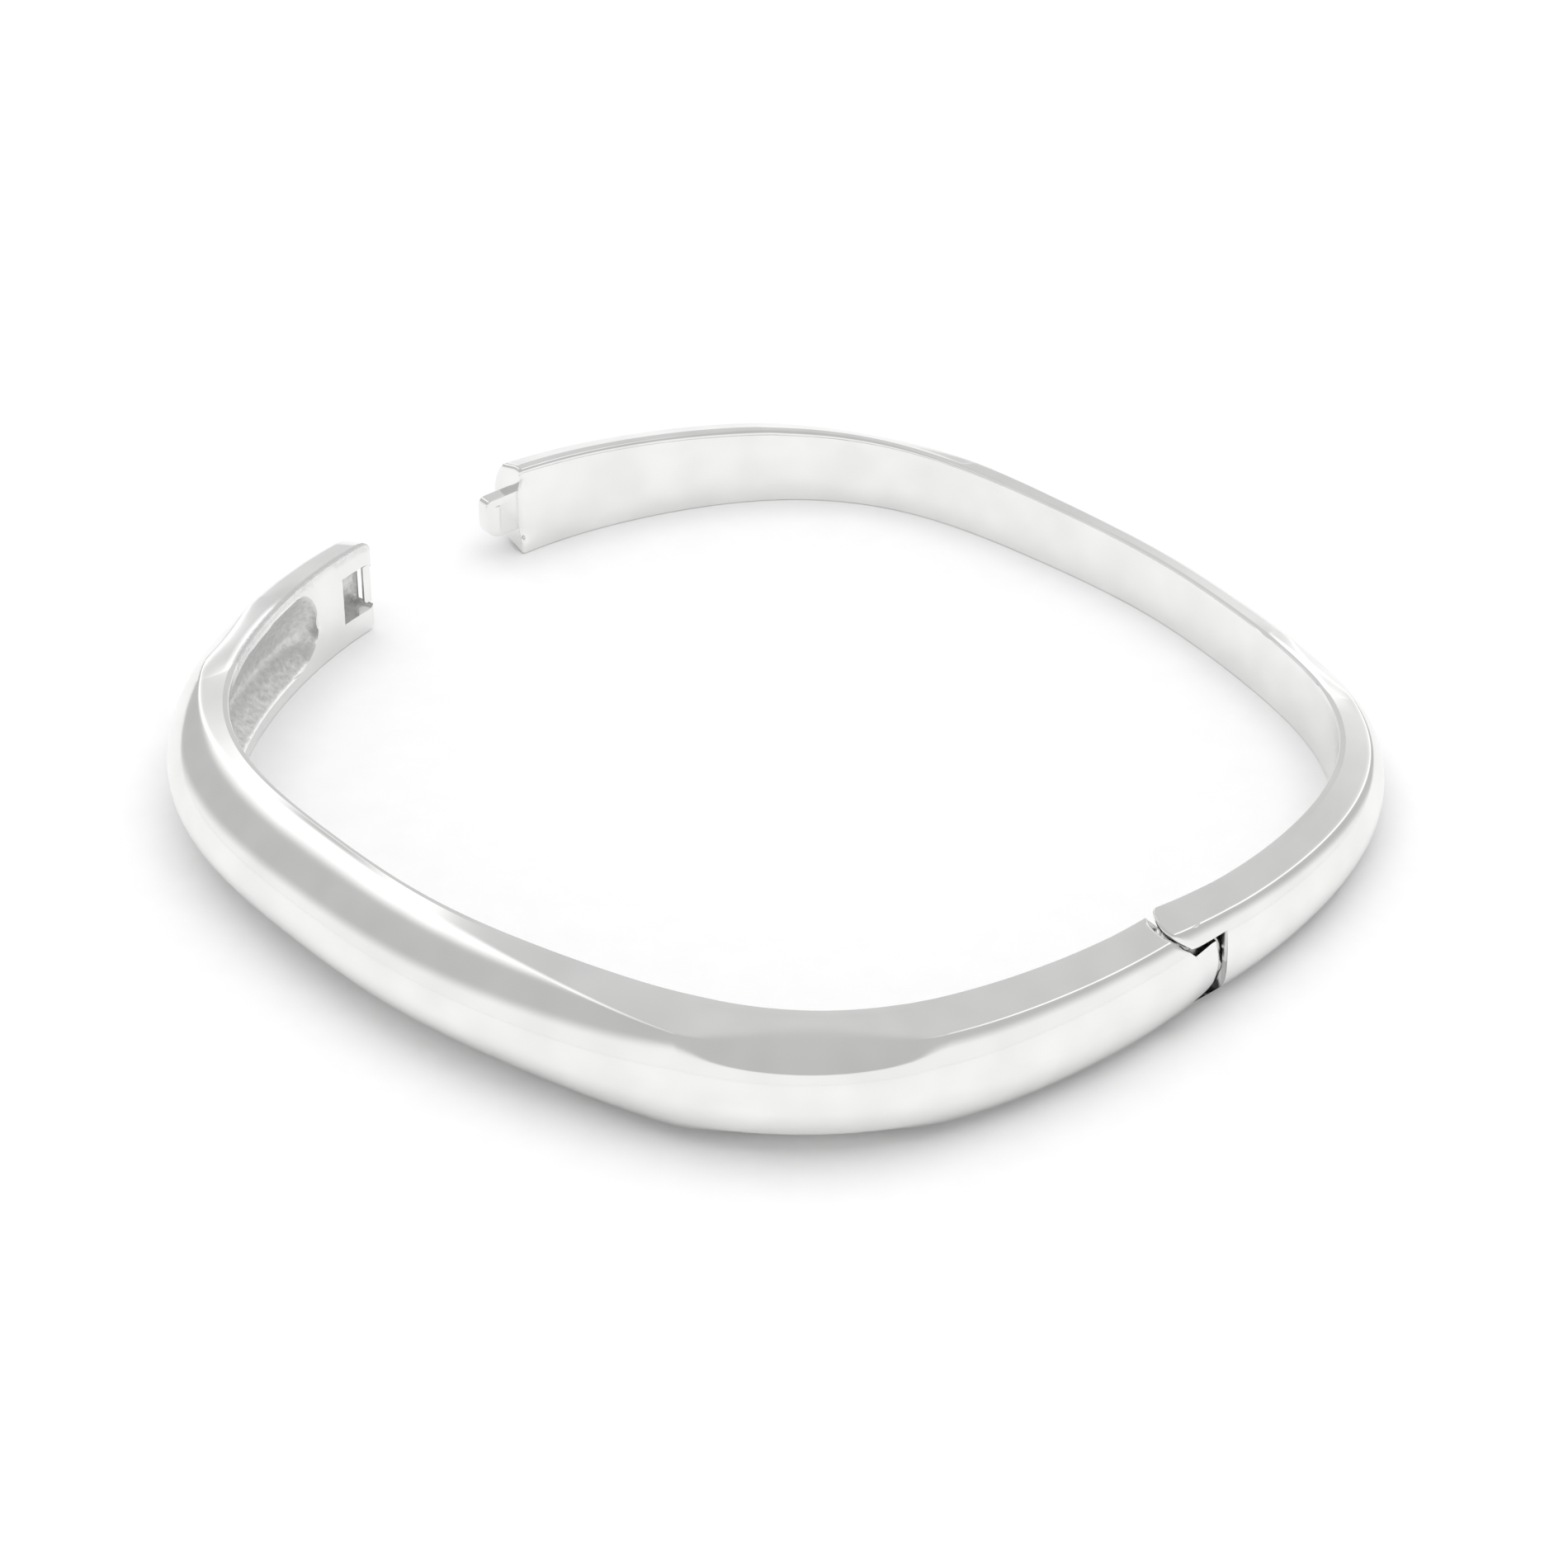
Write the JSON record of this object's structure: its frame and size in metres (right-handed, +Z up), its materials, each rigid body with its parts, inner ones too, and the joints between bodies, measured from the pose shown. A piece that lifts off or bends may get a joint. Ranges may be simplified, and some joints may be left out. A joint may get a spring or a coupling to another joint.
{
  "type": "bangle bracelet",
  "caption": "Hinged silver bangle, a soft four-cornered oval in two cast halves with scooped corners, a riveted knuckle hinge and a snap-tongue catch, shown a little open.",
  "frame": {"origin": "centre of the outer box of the bangle as it stands a little open, on the plane of its lower rim", "axes": "+Z up through the wrist opening; the front corner between its two noses points to -Y and the catch opens on the -X side"},
  "size_m": [0.0676, 0.0676, 0.0074],
  "materials": {
    "polished_silver": "buffed sterling silver, near mirror",
    "drawn_silver": "drawn silver wire, ends filed flush and buffed",
    "cast_silver": "silver as cast, fine sandy skin"
  },
  "bodies": {
    "front": {"front_half": "polished_silver", "catch_lip": "cast_silver"},
    "rear": {"rear_half": "polished_silver", "hinge_pin": "drawn_silver", "snap_tongue": "polished_silver"}
  },
  "joints": [
    {"name": "bangle_hinge", "type": "hinge", "parent": "front", "child": "rear", "pos_m": [0.02141, -0.02076, 0.00302], "axis": [0, 0, 1], "range_deg": [-38, 11.4]}
  ]
}
